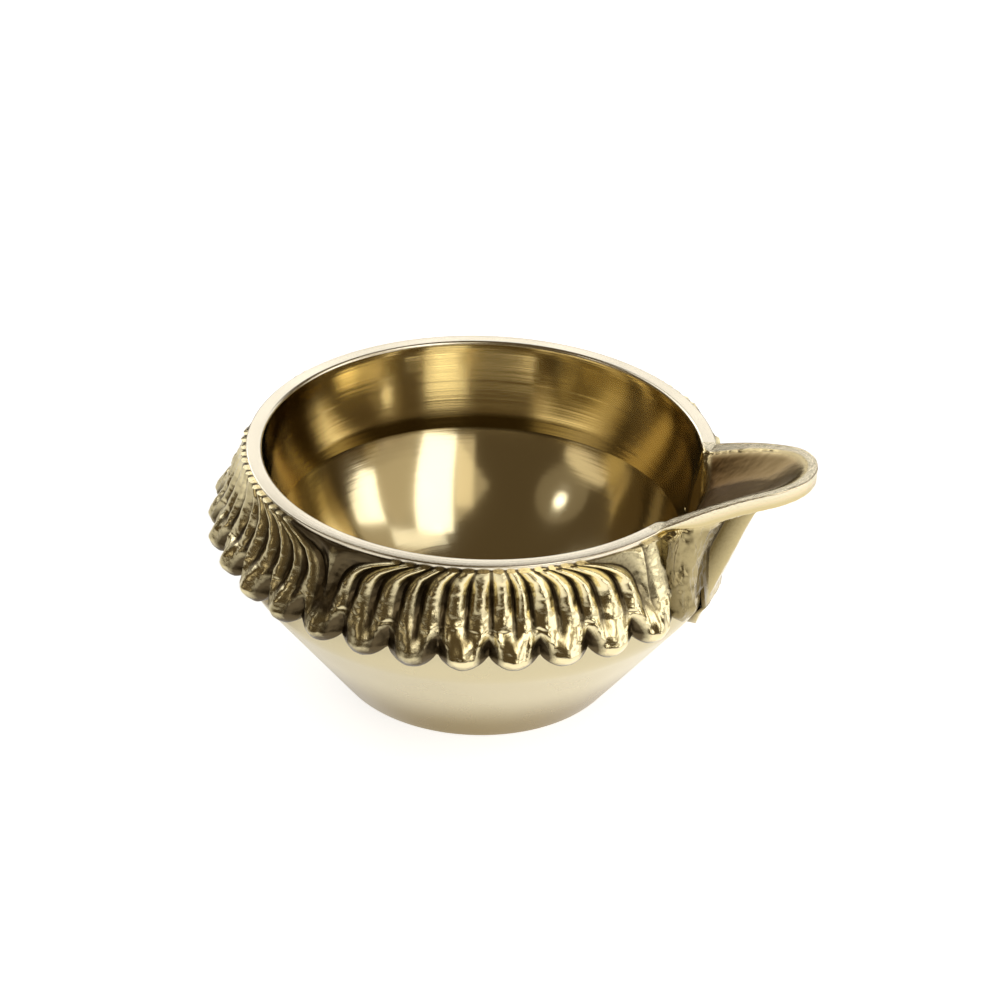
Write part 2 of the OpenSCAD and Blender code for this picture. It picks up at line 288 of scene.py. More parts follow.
def blend(tree, share, first, second):
    """A colour between two, which are colours or links, by a share."""
    node = tree.nodes.new("ShaderNodeMix")
    node.data_type = "RGBA"
    tree.links.new(share, node.inputs["Factor"])
    for socket, colour in ((node.inputs[6], first), (node.inputs[7], second)):
        if isinstance(colour, bpy.types.NodeSocket):
            tree.links.new(colour, socket)
        else:
            socket.default_value = (*colour, 1)
    return node.outputs[2]


def turning_lines_group():
    """Fine rings that the lathe tool leaves: a height that changes with the distance along the outline."""
    group = bpy.data.node_groups.new("turning lines", "ShaderNodeTree")
    group.interface.new_socket("Spacing", in_out="INPUT", socket_type="NodeSocketFloat")
    group.interface.new_socket("Height", in_out="OUTPUT", socket_type="NodeSocketFloat")
    enter = group.nodes.new("NodeGroupInput")
    leave = group.nodes.new("NodeGroupOutput")
    place = group.nodes.new("ShaderNodeTexCoord")
    x, y, z = add_node(group, "ShaderNodeSeparateXYZ", Vector=place.outputs["Object"]).outputs
    radius = math_node(group, "SQRT", math_node(group, "ADD", math_node(group, "MULTIPLY", x, x),
                                                math_node(group, "MULTIPLY", y, y)))
    steps = math_node(group, "DIVIDE", math_node(group, "SUBTRACT", z, radius), enter.outputs["Spacing"])
    rings = add_node(group, "ShaderNodeTexNoise", noise_dimensions="1D", W=steps, Scale=1.0, Detail=4.0,
                     Roughness=0.6)
    group.links.new(rings.outputs["Fac"], leave.inputs["Height"])
    return group


turning_lines = turning_lines_group()


def turned_brass(name, colour, shaded_colour, roughness, anisotropy, line_spacing, line_depth):
    """Brass from the lathe: yellow metal with fine rings, which draw the highlights out across them."""
    material, tree, shader = new_material(name)
    # The stored value blends the brass towards its second colour, which is painted shade.
    stored = add_node(tree, "ShaderNodeAttribute", attribute_name="oxide_and_shade")
    tree.links.new(blend(tree, stored.outputs["Fac"], colour, shaded_colour), shader.inputs["Base Color"])
    shader.inputs["Metallic"].default_value = 1
    shader.inputs["Anisotropic"].default_value = anisotropy
    shader.inputs["Anisotropic Rotation"].default_value = 0.25
    tangent = add_node(tree, "ShaderNodeTangent", direction_type="RADIAL", axis="Z")
    tree.links.new(tangent.outputs[0], shader.inputs["Tangent"])
    rings = add_node(tree, "ShaderNodeGroup", node_tree=turning_lines, Spacing=line_spacing)
    bump = add_node(tree, "ShaderNodeBump", Strength=1.0, Distance=line_depth, Height=rings.outputs["Height"])
    tree.links.new(bump.outputs[0], shader.inputs["Normal"])
    place = tree.nodes.new("ShaderNodeTexCoord")
    smears = add_node(tree, "ShaderNodeTexNoise", Vector=place.outputs["Object"], Scale=90.0, Detail=4.0)
    spread = add_node(tree, "ShaderNodeMapRange", Value=smears.outputs["Fac"], To_Min=roughness * 0.7,
                      To_Max=roughness * 1.3)
    tree.links.new(spread.outputs[0], shader.inputs["Roughness"])
    return material


satin_colour = (0.60, 0.53, 0.345)
# Second colour of the flank: painted shade.
flank_shade_colour = (0.24, 0.165, 0.036)
rim_colour = (0.80, 0.735, 0.59)
well_colour = (0.83, 0.72, 0.45)
# Second colour of the well: painted shade.
well_shade_colour = (0.21, 0.155, 0.06)
# Colour of the painted shade on the shoulder and under the lip.
shoulder_shade_colour = (0.14, 0.10, 0.06)
# The finishes follow in the order in which the bowl's faces count them
for finish in (("satin flank brass", satin_colour, flank_shade_colour, 0.26, 0.3, 0.5 * mm, 0.01 * mm),
               ("polished floor brass", well_colour, well_shade_colour, 0.13, 0.5, 0.9 * mm, 0.02 * mm),
               ("tarnished shoulder brass", shoulder_shade_colour, shoulder_shade_colour, 0.5, 0.0, 0.5 * mm, 0.01 * mm),
               ("polished wall brass", well_colour, well_shade_colour, 0.12, 0.5, 0.9 * mm, 0.02 * mm),
               ("rubbed rim brass", rim_colour, rim_colour, 0.24, 0.0, 0.5 * mm, 0.01 * mm)):
    bowl.data.materials.append(turned_brass(*finish))
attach(bowl, "root")
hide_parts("bowl")

# Collar: the ornament, cast with the lamp and only rubbed afterwards, dark in its grooves. Four fans of
# flutes spread from under the rim down to a fringe of round lobes, with small buds between the fans, all a
# little uneven from the hand-cut pattern. It stands on the bowl's ledge, under the lip. Painted shade
# darkens its front-left and left side, the notches between the lobes and the fringe's underside.
seat_gap = 0.06 * mm
skirt_height = 22 * mm
fringe_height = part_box("leaf_collar")[0].z
fringe_curl = 0.8 * mm
fringe_round = 0.25 * mm
collar_radius = rim_radius + 0.7 * mm
flare = 0.63
flute_end = fringe_height + 5.2 * mm
apron_angle = math.radians(30)
fans = 4
flutes = 14
lobes = 7
lobe_past = 0.5
fan_half = (math.pi - apron_angle) / fans
fan_top = 0.62
fan_end = 0.95
fan_power = 3.8
flute_depth = 1.2 * mm
flute_power = 1.3
top_share = 0.35
end_share = 0.55
lobe_depth = 1.7 * mm
lobe_power = 0.7
lobe_bulge = 0.4 * mm
hollow_power = 1.1
hollow_reach = 0.8
boss_width = 0.17
lobe_crease = 0.12 * mm
crease_place = 0.1
crease_width = 0.06
lobe_ridge = 0.35 * mm
ridge_start = 0.36
ridge_end = 0.2
ridge_width = 0.06
notch_height = 1.8 * mm
bud_height = 0.5 * mm
ground_depth = 0.6 * mm
fold_depth = 0.4 * mm
flute_columns = 12
flute_rows = 48
lobe_rows = 36
apron_columns = 24
cast_lump = 1.8 * mm
cast_rough = 0.10 * mm
# Painted shade on the collar's front-left and on its left side.
front_left_shade = 0.65
left_side_shade = 0.3
hand_cut = np.random.RandomState(7)
flute_drop = hand_cut.uniform(0, 0.28, fans * flutes + 1) * mm
flute_shift = hand_cut.uniform(-0.16, 0.16, fans * flutes + 1)
lobe_drop = hand_cut.uniform(-0.35, 0.3, fans * lobes + 2) * mm
lobe_lift = hand_cut.uniform(-0.1, 0.25, fans * lobes + 2) * mm


def mix(a, b, t):
    return a + (b - a) * t


def wave(t):
    return np.abs(np.sin(np.pi * t))


def skirt_at(z):
    """The collar's outer radius at a height: it flares down to the fringe, which curls in below."""
    u = (collar_top - z) / (collar_top - skirt_height)
    above = mix(collar_radius, skirt_radius, flare * u + (1 - flare) * u * u)
    below = skirt_radius - fringe_curl * ((skirt_height - z) / (skirt_height - fringe_height)) ** 2
    return np.where(z > skirt_height, above, below)


def lobe_full(n):
    """How full a lobe is at a place counted in lobes: 0 in a notch, 1 in the middle."""
    return wave(n) ** lobe_power


def lobe_low(n):
    return fringe_height + notch_height * (1 - lobe_full(n))


def lobe_hollow(n, v):
    """Depth of the hollow between two lobes, and of the crease above them, some share of the way down."""
    hollow = lobe_depth * (1 - wave(n) ** hollow_power) * ease(v / hollow_reach)
    return hollow, lobe_crease * np.exp(-((v - crease_place) / crease_width) ** 2)


def lobe_shape(n, v, swell):
    """How far a lobe stands out: a boss in its middle and a thin ridge along each side."""
    across = abs(n - math.floor(n) - 0.5)
    beside = across - mix(ridge_start, ridge_end, v)
    boss = math.exp(-(across / boss_width) ** 2) * math.sin(math.pi * v ** 0.8)
    ridge = math.exp(-(beside / ridge_width) ** 2) * math.sin(math.pi * v ** 0.6)
    return swell * boss + lobe_ridge * ridge


def fan_spread(t):
    return mix(fan_top, fan_end, 1 - (1 - t) ** fan_power)


def fan_relief(fan, across, ground, t):
    """Depth below the ridges, and tarnish, across a fan or on the ground beside it, down the flutes."""
    fade = mix(top_share, 1, ease(t * 2.5)) * mix(1, end_share, ease(t * 3 - 2))
    if ground == 0:
        place = (across + 1) / 2 * flutes
        flute = fan * flutes + min(flutes - 1, int(place))
        groove = 1 - wave(place) ** flute_power
        depth = flute_depth * groove * fade + flute_drop[flute] * wave(place) * ease(t * 3)
        return depth, float(ease(2.2 * groove - 0.95)) * mix(0.8, 1, fade)
    bud = wave(np.sqrt(t)) * ease(ground * 2 - 1)
    plain = mix(flute_depth * fade, ground_depth, ground) - bud_height * bud
    return plain, mix(0.85, 0.62 - 0.4 * bud, ground)


def fold_relief(n, t):
    return fold_depth * (1 - wave(n)) * mix(top_share, 1, ease(t * 2))


flute_places = np.linspace(0, 1, flute_rows + 1)
columns = []
for k in range(apron_columns):
    u = k / apron_columns
    edge = ground_depth - bud_height * wave(np.sqrt(flute_places))
    joined = ease(u * 3 - 2)
    relief = mix(fold_relief(u, flute_places), edge, joined)
    oxide_and_shade = mix(np.full(flute_rows + 1, 0.35 + 0.4 * (1 - wave(u))), 0.9, joined)
    columns.append((np.full(flute_rows + 1, mix(gap_angle, apron_angle, u)), relief, oxide_and_shade, u * lobe_past))
last_lobe = fans * lobes + 2 * lobe_past
mirrored = [(2 * math.pi - a, r, s, last_lobe - n) for a, r, s, n in reversed(columns)]
ground_places = np.linspace(0, 1, 13)
flute_across = np.linspace(-1, 1, flutes * flute_columns + 1)
for fan in range(fans):
    middle = apron_angle + (2 * fan + 1) * fan_half
    places = [(-1.0, g) for g in ground_places[:0:-1]] + [(s, 0.0) for s in flute_across]
    places += [(1.0, g) for g in ground_places[1:]]
    if fan > 0:
        places = places[1:]
    for across, ground in places:
        flute = (across + 1) / 2 * flutes
        shifts = flute_shift[fan * flutes:(fan + 1) * flutes + 1]
        shift = np.interp(flute, range(flutes + 1), shifts) * 2 / flutes
        moved = across + shift * (1 - across ** 8)
        offset = fan_half * moved * mix(fan_spread(flute_places), 1, ground)
        relief, oxide_and_shade = fan_relief(fan, across, ground, flute_places)
        columns.append((middle + offset, relief, oxide_and_shade,
                        lobe_past + lobes * (fan + (offset[-1] / fan_half + 1) / 2)))
columns += mirrored


def between(a, low, low_fade, high, high_fade):
    """1 between two angles in degrees, with a fade inside each of them, and 0 beyond."""
    return float(ease((high - a) / high_fade) * ease((a - low) / low_fade))


def side_shade(angle):
    """Painted shade: how much darker the casting is at an angle round the axis, on its front-left and left
    side, away from the lights.
    """
    turned_away = (math.degrees(angle) + 90 - view_azimuth + 180) % 360 - 180
    front = between(turned_away, -60, 20, -1, 12)
    side = between(turned_away, -150, 40, -40, 20)
    return front_left_shade * front + left_side_shade * side


def collar_ring(angles, relief, oxide_and_shade, n):
    """One column of the collar: up the bore, over the top, down the flutes and the lobe, and back under."""
    lobe = min(int(n), fans * lobes + 1)
    low = lobe_low(n) + lobe_drop[lobe] * lobe_full(n)
    # Painted shade by the side of the collar, added below and stronger in the grooves.
    side_shade_share = side_shade(angles[-1])
    rows = []
    # The collar's bore, against the neck, is painted fully in shade.
    for t in (1, 0.66, 0.33, 0):
        a = np.interp(t, flute_places, angles)
        rows.append((a, neck_radius + seat_gap, mix(collar_top, ledge_height, t), 1.0))
    z = mix(collar_top, flute_end, flute_places)
    flute_side_shade = side_shade_share * (0.35 + 0.9 * np.sqrt(np.abs(relief) / flute_depth))
    rows += list(zip(angles, skirt_at(z) - relief, z, oxide_and_shade + flute_side_shade))
    for k in range(1, lobe_rows + 1):
        v = k / lobe_rows
        zv = mix(flute_end, low, v)
        hollow, crease = lobe_hollow(n, v)
        start = relief[-1] * (1 - ease(v * 2))
        lobe_out = lobe_shape(n, v, lobe_bulge + lobe_lift[lobe])
        rv = float(skirt_at(np.array(zv))) + lobe_out - hollow - crease - start
        # The notches between lobes take painted shade, each lobe gets darker towards its lower edge, and the
        # side's painted shade is added.
        dark = max(1.7 * hollow / lobe_depth, mix(oxide_and_shade[-1], 0, ease(v * 2)), v ** 5)
        rows.append((angles[-1], rv, zv, dark + 0.7 * side_shade_share))
    # The fringe's rolled underside and its back against the bowl are painted fully in shade.
    last = rows[-1]
    back = shoulder_radius + seat_gap
    for k in range(1, 6):
        turn = math.radians(90 * k / 5)
        under = mix(last[1], back, 1 - math.cos(turn))
        rows.append((angles[-1], under, last[2] - fringe_round * math.sin(turn), 1.0))
    rows.append((angles[-1], back, ledge_height, 1.0))
    return rows


def ring_solid(rings):
    """A closed solid from rings of (angle, radius, height, values): its points, faces and values."""
    count = len(rings[0])
    flat = np.array(rings, float).reshape(len(rings) * count, -1)
    points = np.column_stack((flat[:, 1] * np.cos(flat[:, 0]), flat[:, 1] * np.sin(flat[:, 0]), flat[:, 2]))
    faces = []
    for j in range(len(rings) - 1):
        for i in range(count):
            p = j * count + i
            q = j * count + (i + 1) % count
            faces.append((p, q, q + count, p + count))
    faces.append(tuple(range(count - 1, -1, -1)))
    faces.append(tuple(range((len(rings) - 1) * count, len(rings) * count)))
    return points, faces, np.clip(flat[:, 3:], 0, 1)


def roughen(points, size, depth, stretch=1):
    """Moves points in and out from the axis by soft noise, as the sand of the mould leaves a casting.
    A stretch draws the noise out along the axis."""
    moved = points.copy()
    depths = np.broadcast_to(depth, len(points))
    for k, p in enumerate(points):
        r = math.hypot(p[0], p[1])
        push = depths[k] * noise.fractal(Vector((p[0], p[1], p[2] / stretch)) / size, 0.6, 2.0, 3)
        moved[k, :2] *= (r + push) / r
    return moved


collar_points, collar_faces, collar_values = ring_solid([collar_ring(*c) for c in columns])
collar_points = roughen(collar_points, cast_lump, cast_rough)
collar = make_mesh("cast_leaf_collar", collar_points, collar_faces, {"oxide_and_shade": collar_values[:, 0]})


def casting_grain_group():
    """The grain of a sand casting: a height of soft lumps and pits, and a mask of darker flecks."""
    group = bpy.data.node_groups.new("casting grain", "ShaderNodeTree")
    group.interface.new_socket("Grain size", in_out="INPUT", socket_type="NodeSocketFloat")
    group.interface.new_socket("Height", in_out="OUTPUT", socket_type="NodeSocketFloat")
    group.interface.new_socket("Flecks", in_out="OUTPUT", socket_type="NodeSocketFloat")
    enter = group.nodes.new("NodeGroupInput")
    leave = group.nodes.new("NodeGroupOutput")
    place = group.nodes.new("ShaderNodeTexCoord")
    scale = math_node(group, "DIVIDE", 1.0, enter.outputs["Grain size"])
    lumps = add_node(group, "ShaderNodeTexNoise", Vector=place.outputs["Object"], Scale=scale, Detail=5.0,
                     Roughness=0.6)
    flecks = add_node(group, "ShaderNodeMapRange", Value=lumps.outputs["Fac"], From_Min=0.45, From_Max=0.7)
    group.links.new(lumps.outputs["Fac"], leave.inputs["Height"])
    group.links.new(flecks.outputs[0], leave.inputs["Flecks"])
    return group


casting_grain = casting_grain_group()


def oxide_and_shade_share(tree, grain, flecked_share):
    """How dark the metal is, from the oxide and painted shade stored on the mesh and the flecks of the
    casting.
    """
    stored = add_node(tree, "ShaderNodeAttribute", attribute_name="oxide_and_shade")
    flecks = math_node(tree, "MULTIPLY", grain.outputs["Flecks"], flecked_share)
    flecked = math_node(tree, "ADD", stored.outputs["Fac"], flecks)
    return add_node(tree, "ShaderNodeMapRange", Value=flecked, From_Min=0.35, From_Max=0.95).outputs[0]


cast_colour = (0.85, 0.75, 0.46)
cast_dark_colour = (0.10, 0.075, 0.04)
grain_size = 0.35 * mm
cast_material, cast_tree, cast_shader = new_material("cast collar brass")
cast_shader.inputs["Metallic"].default_value = 1
cast_grain = add_node(cast_tree, "ShaderNodeGroup", node_tree=casting_grain, Grain_size=grain_size)
# The collar darkens by its stored oxide and painted shade.
cast_dark = oxide_and_shade_share(cast_tree, cast_grain, 0.1)
cast_oxide_and_shade = blend(cast_tree, cast_dark, cast_colour, cast_dark_colour)
cast_tree.links.new(cast_oxide_and_shade, cast_shader.inputs["Base Color"])
cast_dull = add_node(cast_tree, "ShaderNodeMapRange", Value=cast_dark, To_Min=0.15, To_Max=0.34)
cast_tree.links.new(cast_dull.outputs[0], cast_shader.inputs["Roughness"])
cast_bump = add_node(cast_tree, "ShaderNodeBump", Strength=0.2, Distance=0.15 * mm,
                     Height=cast_grain.outputs["Height"])
cast_tree.links.new(cast_bump.outputs[0], cast_shader.inputs["Normal"])
collar.data.materials.append(cast_material)
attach(collar, "root")
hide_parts("leaf_collar")

# Spout: cast with the rest and filed along its edge, which carries on the rim's lip. The wick's place is a
# shallow channel, brown from soot, and a plain keel runs from under the tip down on to the bowl's flank.
# It fills the gap in the neck, and the well's polish carries on below its mouth.
spout_low, spout_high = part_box("wick_spout")
spout_reach = spout_high.x
spout_height = spout_high.z
tip_radius = 7.2 * mm
corner_radius = 2 * mm
rise_power = 1.55
edge_thickness = 2.2 * mm
root_edge_width = 1.8 * mm
tip_edge_width = 1 * mm
slope_width = 4.8 * mm
channel_depth = 3.4 * mm
tip_depth = 0.9 * mm
mouth_round = 2.4 * mm
keel_half_angle = math.asin(5 * mm / skirt_radius)
keel_low = spout_low.z
keel_thickness = 1.8 * mm
keel_step = 6.7 * mm
keel_stand = 0.8 * mm
keel_groove = 2.8 * mm
keel_flat = 0.5
keel_taper = 0.45
groove_share = 0.62
flank_drop = 1.3 * mm
skin = 0.5 * mm
under_round = 0.5 * mm
soot_fade = 2 * mm
clean_mouth = 1.5 * mm
filed_fade = 1.2 * mm
spout_lump = 1.4 * mm
spout_rough = 0.06 * mm
flank_rough = 0.28 * mm
lump_stretch = 2.5
spout_columns = 240
soften_times = 12
mouth_rows = 6
channel_rows = 60
under_rows = 12
keel_rows = 48
root_x = rim_radius * math.cos(gap_angle)
corner_distance = rim_radius + corner_radius
corner = corner_distance * np.array([math.cos(gap_angle), math.sin(gap_angle)])
tip = np.array([spout_reach - tip_radius, 0])
tip_to_corner = math.hypot(tip[0] - corner[0], corner[1])
taper = math.atan2(corner[1], tip[0] - corner[0]) - math.asin((tip_radius + corner_radius) / tip_to_corner)
side_normal = np.array([math.sin(taper), math.cos(taper)])
side_way = np.array([side_normal[1], -side_normal[0]])
side_distance = tip[0] * side_normal[0] + tip_radius
tangent_angle = math.atan2(tip_radius * side_normal[1], tip[0] + tip_radius * side_normal[0])
corner_end = corner - corner_radius * side_normal
corner_angle = math.atan2(corner_end[1], corner_end[0])


def edge_radius(a):
    """Distance from the bowl's axis to the spout's edge: round corner, straight side and round end."""
    if abs(a) > corner_angle:
        turn = gap_angle - abs(a)
        return corner_distance * math.cos(turn) - math.sqrt(
            max(0, corner_radius ** 2 - (corner_distance * math.sin(turn)) ** 2))
    if abs(a) > tangent_angle:
        return side_distance / math.sin(abs(a) + taper)
    return tip[0] * math.cos(a) + math.sqrt(tip_radius ** 2 - (tip[0] * math.sin(a)) ** 2)


def edge_in(x, y):
    """Distance from a point of the spout to its edge."""
    p = np.array([x, abs(y)])
    if (p - tip) @ side_way > 0:
        return tip_radius - math.hypot(*(p - tip))
    if (p - corner) @ side_way < 0:
        return math.hypot(*(p - corner)) - corner_radius
    return side_distance - float(p @ side_normal)


def along(x):
    return float(np.clip((x - root_x) / (spout_reach - root_x), 0, 1))


def edge_height(x):
    return mix(spout_height, rim_height, (1 - along(x)) ** rise_power)


def edge_width(x):
    return mix(root_edge_width, tip_edge_width, float(ease(along(x) * 2)))


def sunk(x, y):
    """How far down the channel's slope a point lies, from 0 on the edge to 1 on the channel's floor."""
    return float(ease((edge_in(x, y) - edge_width(x)) / slope_width))


def channel_height(x, y):
    """The top of the spout: a flat edge, a soft channel that gets shallower, and a round mouth."""
    down = sunk(x, y)
    round_off = mix(lip_round, mouth_round, down)
    over = float(np.clip((math.hypot(x, y) - bore_radius) / round_off, 0, 1))
    mouth = round_off * (1 - math.sqrt(1 - (1 - over) ** 2))
    return edge_height(x) - mix(channel_depth, tip_depth, along(x)) * down - mouth


def flank_radius(z):
    return mix(foot_radius, shoulder_radius, min(1, max(0, z / shoulder_height)))


def keel_up(z):
    return min(1, max(0, (z - keel_low) / (collar_top - keel_low)))


def keel_at(z):
    return mix(flank_radius(keel_low) + keel_thickness, rim_radius + keel_step, keel_up(z))


def flank_place(a):
    """Place beside the keel, from 0 at the keel to 1 at the collar."""
    return float(np.clip((abs(a) - keel_half_angle) / (gap_angle - keel_half_angle), 0, 1))


def flank_low(a):
    """The spout's lower edge: the keel's pointed foot, and one long lobe of the fringe on each side of it."""
    if abs(a) < keel_half_angle:
        return mix(keel_low, float(lobe_low(0)), (abs(a) / keel_half_angle) ** 2)
    u = flank_place(a)
    return float(lobe_low(u)) - flank_drop * math.sin(math.pi * u) ** 2


def flank_at(a, z):
    """The spout's radius below its edge, and how dark it is: a keel, a groove beside it and a soft fold, with
    oxide over the cast and painted shade in the groove beside the keel and between the lobes.
    """
    u = flank_place(a)
    apart = float(ease(u))
    t = (collar_top - z) / (collar_top - flute_end)
    v = float(np.clip((flute_end - z) / (flute_end - min(flank_low(a), skirt_height)), 0, 1))
    hollow, crease = lobe_hollow(u, v)
    fold = float(fold_relief(u, t)) * apart + float(hollow)
    groove = (keel_groove - keel_stand) * (1 - float(ease(u / groove_share)))
    sides = mix(keel_at(z) - keel_stand, float(skirt_at(np.array(z))) - fold, apart) - groove
    sides -= float(crease) * apart * (0 if v == 0 else 1)
    keel_width = keel_half_angle * (1 - keel_taper * keel_up(z) ** 2)
    keel = float(ease((1 - abs(a) / keel_width) / (1 - keel_flat)))
    # The groove beside the keel and the notches between lobes are darkened as painted shade; the fold's
    # hollows darken as oxide.
    dark = mix(0.6 + 0.4 * groove / (keel_groove - keel_stand), 0.6 + 0.3 * (1 - float(wave(u))), apart)
    dark = max(dark, float(hollow) / lobe_depth)
    return max(mix(sides, keel_at(z), keel), flank_radius(z) + seat_gap + skin), mix(dark, 0.45, keel)


def soften(rows, first, last, times):
    """Rounds the creases of a column between two rows by averaging neighbours."""
    table = np.array(rows, float)
    for _ in range(times):
        around = table[first - 1:last - 1, 1:3] + table[first + 1:last + 1, 1:3]
        table[first:last, 1:3] = table[first:last, 1:3] / 2 + around / 4
    return [tuple(row) for row in table]


def spout_ring(a):
    """One column of the spout: up from the ledge, along the channel, over the edge and down the keel.
    Each point is angle, radius, height, oxide and painted shade, soot and filing marks."""
    outer = edge_radius(a)
    edge = edge_height(outer * math.cos(a))
    thick = mix(rim_height - collar_top, edge_thickness, float(ease(along(outer * math.cos(a)) * 3)))
    low = flank_low(a)
    inner = channel_height(bore_radius * math.cos(a), bore_radius * math.sin(a))
    rows = []
    for k in range(mouth_rows):
        u = k / mouth_rows
        rows.append((a, mix(ledge_bore_radius, bore_radius, u), mix(ledge_height, inner, u), 0, 0, 0))
    for k in range(channel_rows + 1):
        r = mix(bore_radius, outer - lip_edge, (k / channel_rows) ** 1.4)
        x = r * math.cos(a)
        y = r * math.sin(a)
        inward = edge_in(x, y)
        soot = float(ease((inward - 0.7 * edge_width(x)) / soot_fade)) * mix(1, 0.7, along(x))
        soot *= float(ease((r - bore_radius) / clean_mouth))
        filed = 1 - float(ease((inward - edge_width(x)) / filed_fade))
        rows.append((a, r, channel_height(x, y), 0.2 if k > 0 else 0, soot, filed))
    rows += [(a, outer - lip_edge * (1 - math.sin(t)), edge - lip_edge * (1 - math.cos(t)), 0.15, 0.0, 1.0)
             for t in np.radians(np.linspace(10, 90, 7))]
    under = min(under_round, thick * 0.4)
    # Under the edge, down to the collar, the spout is painted darker as shade.
    rows += [(a, outer - under * (1 - math.cos(t)), edge - thick + under * (1 - math.sin(t)), 0.25, 0.0, 0.8)
             for t in np.radians(np.linspace(0, 90, 6))]
    start = len(rows)
    top = flank_at(a, collar_top)[0]
    for k in range(1, under_rows):
        u = k / under_rows
        z = mix(edge - thick, collar_top, u)
        rows.append((a, mix(outer - under, top, u), z, 0.3 + 0.3 * u, 0.0, 0.5))
    for k in range(keel_rows + 1):
        z = mix(collar_top, low, k / keel_rows)
        r, dark = flank_at(a, z)
        rows.append((a, r, z, dark, 0.0, 0.4))
    rows = soften(rows, start, start + 2 * under_rows, soften_times)
    # The faces against the bowl are painted fully in shade.
    rows.append((a, flank_radius(low) + seat_gap, low, 1.0, 0.0, 0.0))
    middle = shoulder_height if low < shoulder_height else (low + ledge_height) / 2
    rows.append((a, flank_radius(middle) + seat_gap, middle, 1.0, 0.0, 0.0))
    rows.append((a, shoulder_radius + seat_gap, ledge_height, 1.0, 0.0, 0.0))
    return rows


spout_angles = np.linspace(-gap_angle, gap_angle, spout_columns + 1)
spout_points, spout_faces, spout_values = ring_solid([spout_ring(a) for a in spout_angles])
# About half filed are the cast flank and a thin line inside the edge, and these are left rougher
cast_flank = (spout_values[:, 2] > 0.35) & (spout_values[:, 2] < 0.6)
beside_keel = np.abs(np.arctan2(spout_points[:, 1], spout_points[:, 0])) > keel_half_angle
spout_depths = np.where(cast_flank & beside_keel, flank_rough, spout_rough)
spout_points = roughen(spout_points, spout_lump, spout_depths, lump_stretch)
spout_rows = len(spout_points) // len(spout_angles)
column_kinds = [1 if i < mouth_rows else 0 for i in range(spout_rows)]
spout_kinds = column_kinds * spout_columns + [0, 0]
spout = make_mesh("filed_wick_spout", spout_points, spout_faces,
                  {"oxide_and_shade": spout_values[:, 0], "soot": spout_values[:, 1], "filing": spout_values[:, 2]},
                  spout_kinds)
spout_colour = (0.61, 0.51, 0.275)
spout_dark_colour = (0.11, 0.08, 0.03)
edge_colour = (0.90, 0.82, 0.61)
soot_colour = (0.085, 0.040, 0.006)
filed_material, filed_tree, filed_shader = new_material("filed spout brass")
filed_shader.inputs["Metallic"].default_value = 1
filed_grain = add_node(filed_tree, "ShaderNodeGroup", node_tree=casting_grain, Grain_size=grain_size)
# The spout darkens by its stored oxide and painted shade.
filed_dark = oxide_and_shade_share(filed_tree, filed_grain, 0.04)
soot = add_node(filed_tree, "ShaderNodeAttribute", attribute_name="soot").outputs["Fac"]
filing = add_node(filed_tree, "ShaderNodeAttribute", attribute_name="filing").outputs["Fac"]
filed_colour = blend(filed_tree, filed_dark, spout_colour, spout_dark_colour)
rubbed_share = add_node(filed_tree, "ShaderNodeMapRange", Value=filing, From_Min=0.82, From_Max=1.0)
filed_colour = blend(filed_tree, rubbed_share.outputs[0], filed_colour, edge_colour)
sooty_colour = blend(filed_tree, soot, filed_colour, soot_colour)
filed_tree.links.new(sooty_colour, filed_shader.inputs["Base Color"])
filed_dull = add_node(filed_tree, "ShaderNodeMapRange", Value=filed_dark, To_Min=0.16, To_Max=0.28)
sooty_dull = math_node(filed_tree, "MULTIPLY", soot, 0.42)
dullest = math_node(filed_tree, "MAXIMUM", filed_dull.outputs[0], sooty_dull)
filed_tree.links.new(dullest, filed_shader.inputs["Roughness"])
filed_lumps = math_node(filed_tree, "SUBTRACT", filed_grain.outputs["Height"], 0.5)
filed_depth = math_node(filed_tree, "POWER", filing, 3.0)
filed_marks = math_node(filed_tree, "MULTIPLY", filed_lumps, filed_depth)
filed_bump = add_node(filed_tree, "ShaderNodeBump", Strength=0.6, Distance=0.14 * mm, Height=filed_marks)
filed_tree.links.new(filed_bump.outputs[0], filed_shader.inputs["Normal"])
spout.data.materials.append(filed_material)
spout.data.materials.append(bowl.data.materials[bright])
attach(spout, "root")
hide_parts("wick_spout")

# Table and light: a white table in a dim room, with a tall window, smaller ones and a curtain on the right
# before a warm wall, a low window and a small shaded light on the left, a window and a bright wall behind.
# To the brass the table glows as a painted pool of light that fades out, and the lens sees it white.
table_size = 16.0
pool_offset = 0.06
pool_core = 0.03
pool_end = 0.20
pool_light = 0.86
far_light = 0.15
lens_light = 0.8
table_mesh = bpy.data.meshes.new("table")
half = table_size / 2
table_corners = [(-half, -half, 0), (half, -half, 0), (half, half, 0), (-half, half, 0)]
table_mesh.from_pydata(table_corners, [], [(0, 1, 2, 3)])
table = bpy.data.objects.new("table", table_mesh)
bpy.context.scene.collection.objects.link(table)
table_white, table_tree, table_shader = new_material("white table")
table_shader.inputs["Base Color"].default_value = (0.8, 0.8, 0.79, 1)
table_shader.inputs["Roughness"].default_value = 0.6
table_shader.inputs["Specular IOR Level"].default_value = 0
path = table_tree.nodes.new("ShaderNodeLightPath")
mirrored_ray = math_node(table_tree, "MAXIMUM", path.outputs["Is Glossy Ray"],
                         path.outputs["Is Transmission Ray"])
table_shader.inputs["Emission Color"].default_value = (1, 1, 1, 1)
table_place = table_tree.nodes.new("ShaderNodeTexCoord")
pool_middle = direction(view_azimuth + 50, 0) * pool_offset
pool_distance = add_node(table_tree, "ShaderNodeVectorMath", operation="DISTANCE")
table_tree.links.new(table_place.outputs["Object"], pool_distance.inputs[0])
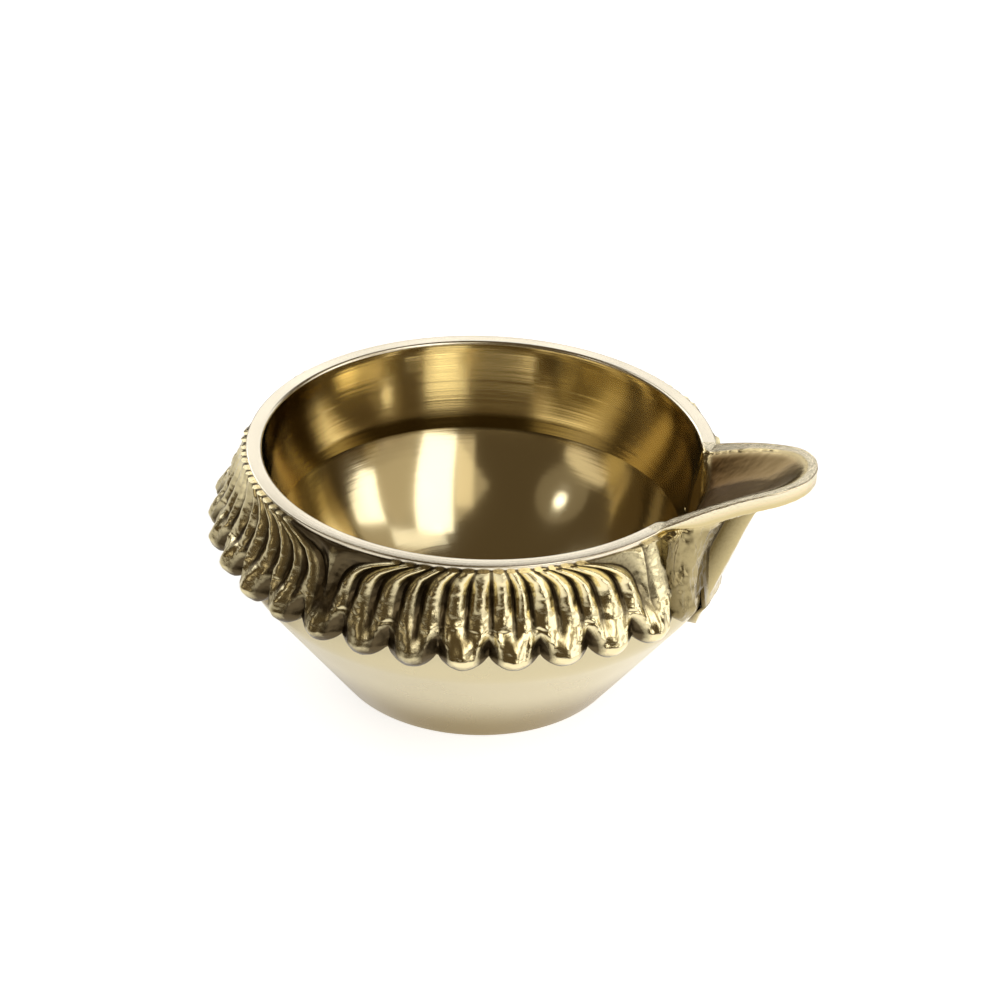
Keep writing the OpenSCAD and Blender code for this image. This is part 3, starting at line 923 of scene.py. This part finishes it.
pool_distance.inputs[1].default_value = pool_middle
pool = add_node(table_tree, "ShaderNodeMapRange", interpolation_type="SMOOTHSTEP",
                Value=pool_distance.outputs["Value"], From_Min=pool_core, From_Max=pool_end,
                To_Min=pool_light, To_Max=far_light)
# Painted pool of light: only rays from the brass see the table glow, brightest near the lamp.
mirrored_light = math_node(table_tree, "MULTIPLY", mirrored_ray, pool.outputs[0])
seen_light = math_node(table_tree, "MULTIPLY", path.outputs["Is Camera Ray"], lens_light)
table_light = math_node(table_tree, "ADD", mirrored_light, seen_light)
table_tree.links.new(table_light, table_shader.inputs["Emission Strength"])
table.data.materials.append(table_white)


def softbox(name, azimuth, elevation, distance, width, height, brightness, colour, turn=0.0, oval=False):
    """A soft flat light of a given brightness, where 1 is white, aimed at the lamp. Sizes are in metres."""
    data = bpy.data.lights.new(name, "AREA")
    data.shape = "ELLIPSE" if oval else "RECTANGLE"
    data.size = width
    data.size_y = height
    area = width * height * (math.pi / 4 if oval else 1)
    data.energy = brightness * math.pi * area
    data.color = colour
    light = bpy.data.objects.new(name, data)
    bpy.context.scene.collection.objects.link(light)
    light.location = lamp_middle + direction(view_azimuth + azimuth, elevation) * distance
    aim(light, lamp_middle, turn)
    light.visible_camera = False


# The numbers are azimuth from the camera to its right, elevation, distance, width, height and brightness
daylight = (1, 1, 1)
warm_wall = (1, 0.88, 0.66)
softbox("tall right window", 36, 44, 0.7, 0.25, 0.70, 1.75, daylight, -26)
softbox("low right window", 86, 29, 0.7, 0.22, 0.30, 1.7, daylight, -40)
softbox("upper right window", 84, 61, 0.7, 0.12, 0.34, 0.8, daylight, 35)
softbox("right lower panel", 75, 8, 0.8, 0.9, 0.22, 1.7, daylight)
softbox("right wall", 58, 42, 0.9, 1.5, 0.95, 0.34, warm_wall)
softbox("window wall", 60, 38, 0.75, 0.40, 0.36, 0.10, warm_wall)
softbox("left lamp", -64, 42.5, 0.7, 0.08, 0.085, 3.0, daylight, oval=True)
for size in (0.20, 0.30, 0.40):
    softbox("left lamp shade", -62, 39, 0.75, size, size, 0.13, warm_wall, oval=True)
softbox("left window", -66, 21, 0.7, 0.38, 0.13, 0.75, warm_wall, oval=True)
softbox("back left window", -136, 32, 0.8, 0.50, 0.66, 1.3, daylight)
softbox("back wall", 180, 28, 0.8, 1.8, 0.25, 1.4, daylight)
softbox("curtain", 12, 42, 0.72, 0.12, 0.50, 0.55, warm_wall, -8)

world = bpy.data.worlds.new("dim room")
bpy.context.scene.world = world
world.use_nodes = True
world.node_tree.nodes["Background"].inputs["Color"].default_value = (0.09, 0.065, 0.035, 1)
bpy.context.scene.view_settings.view_transform = "Standard"
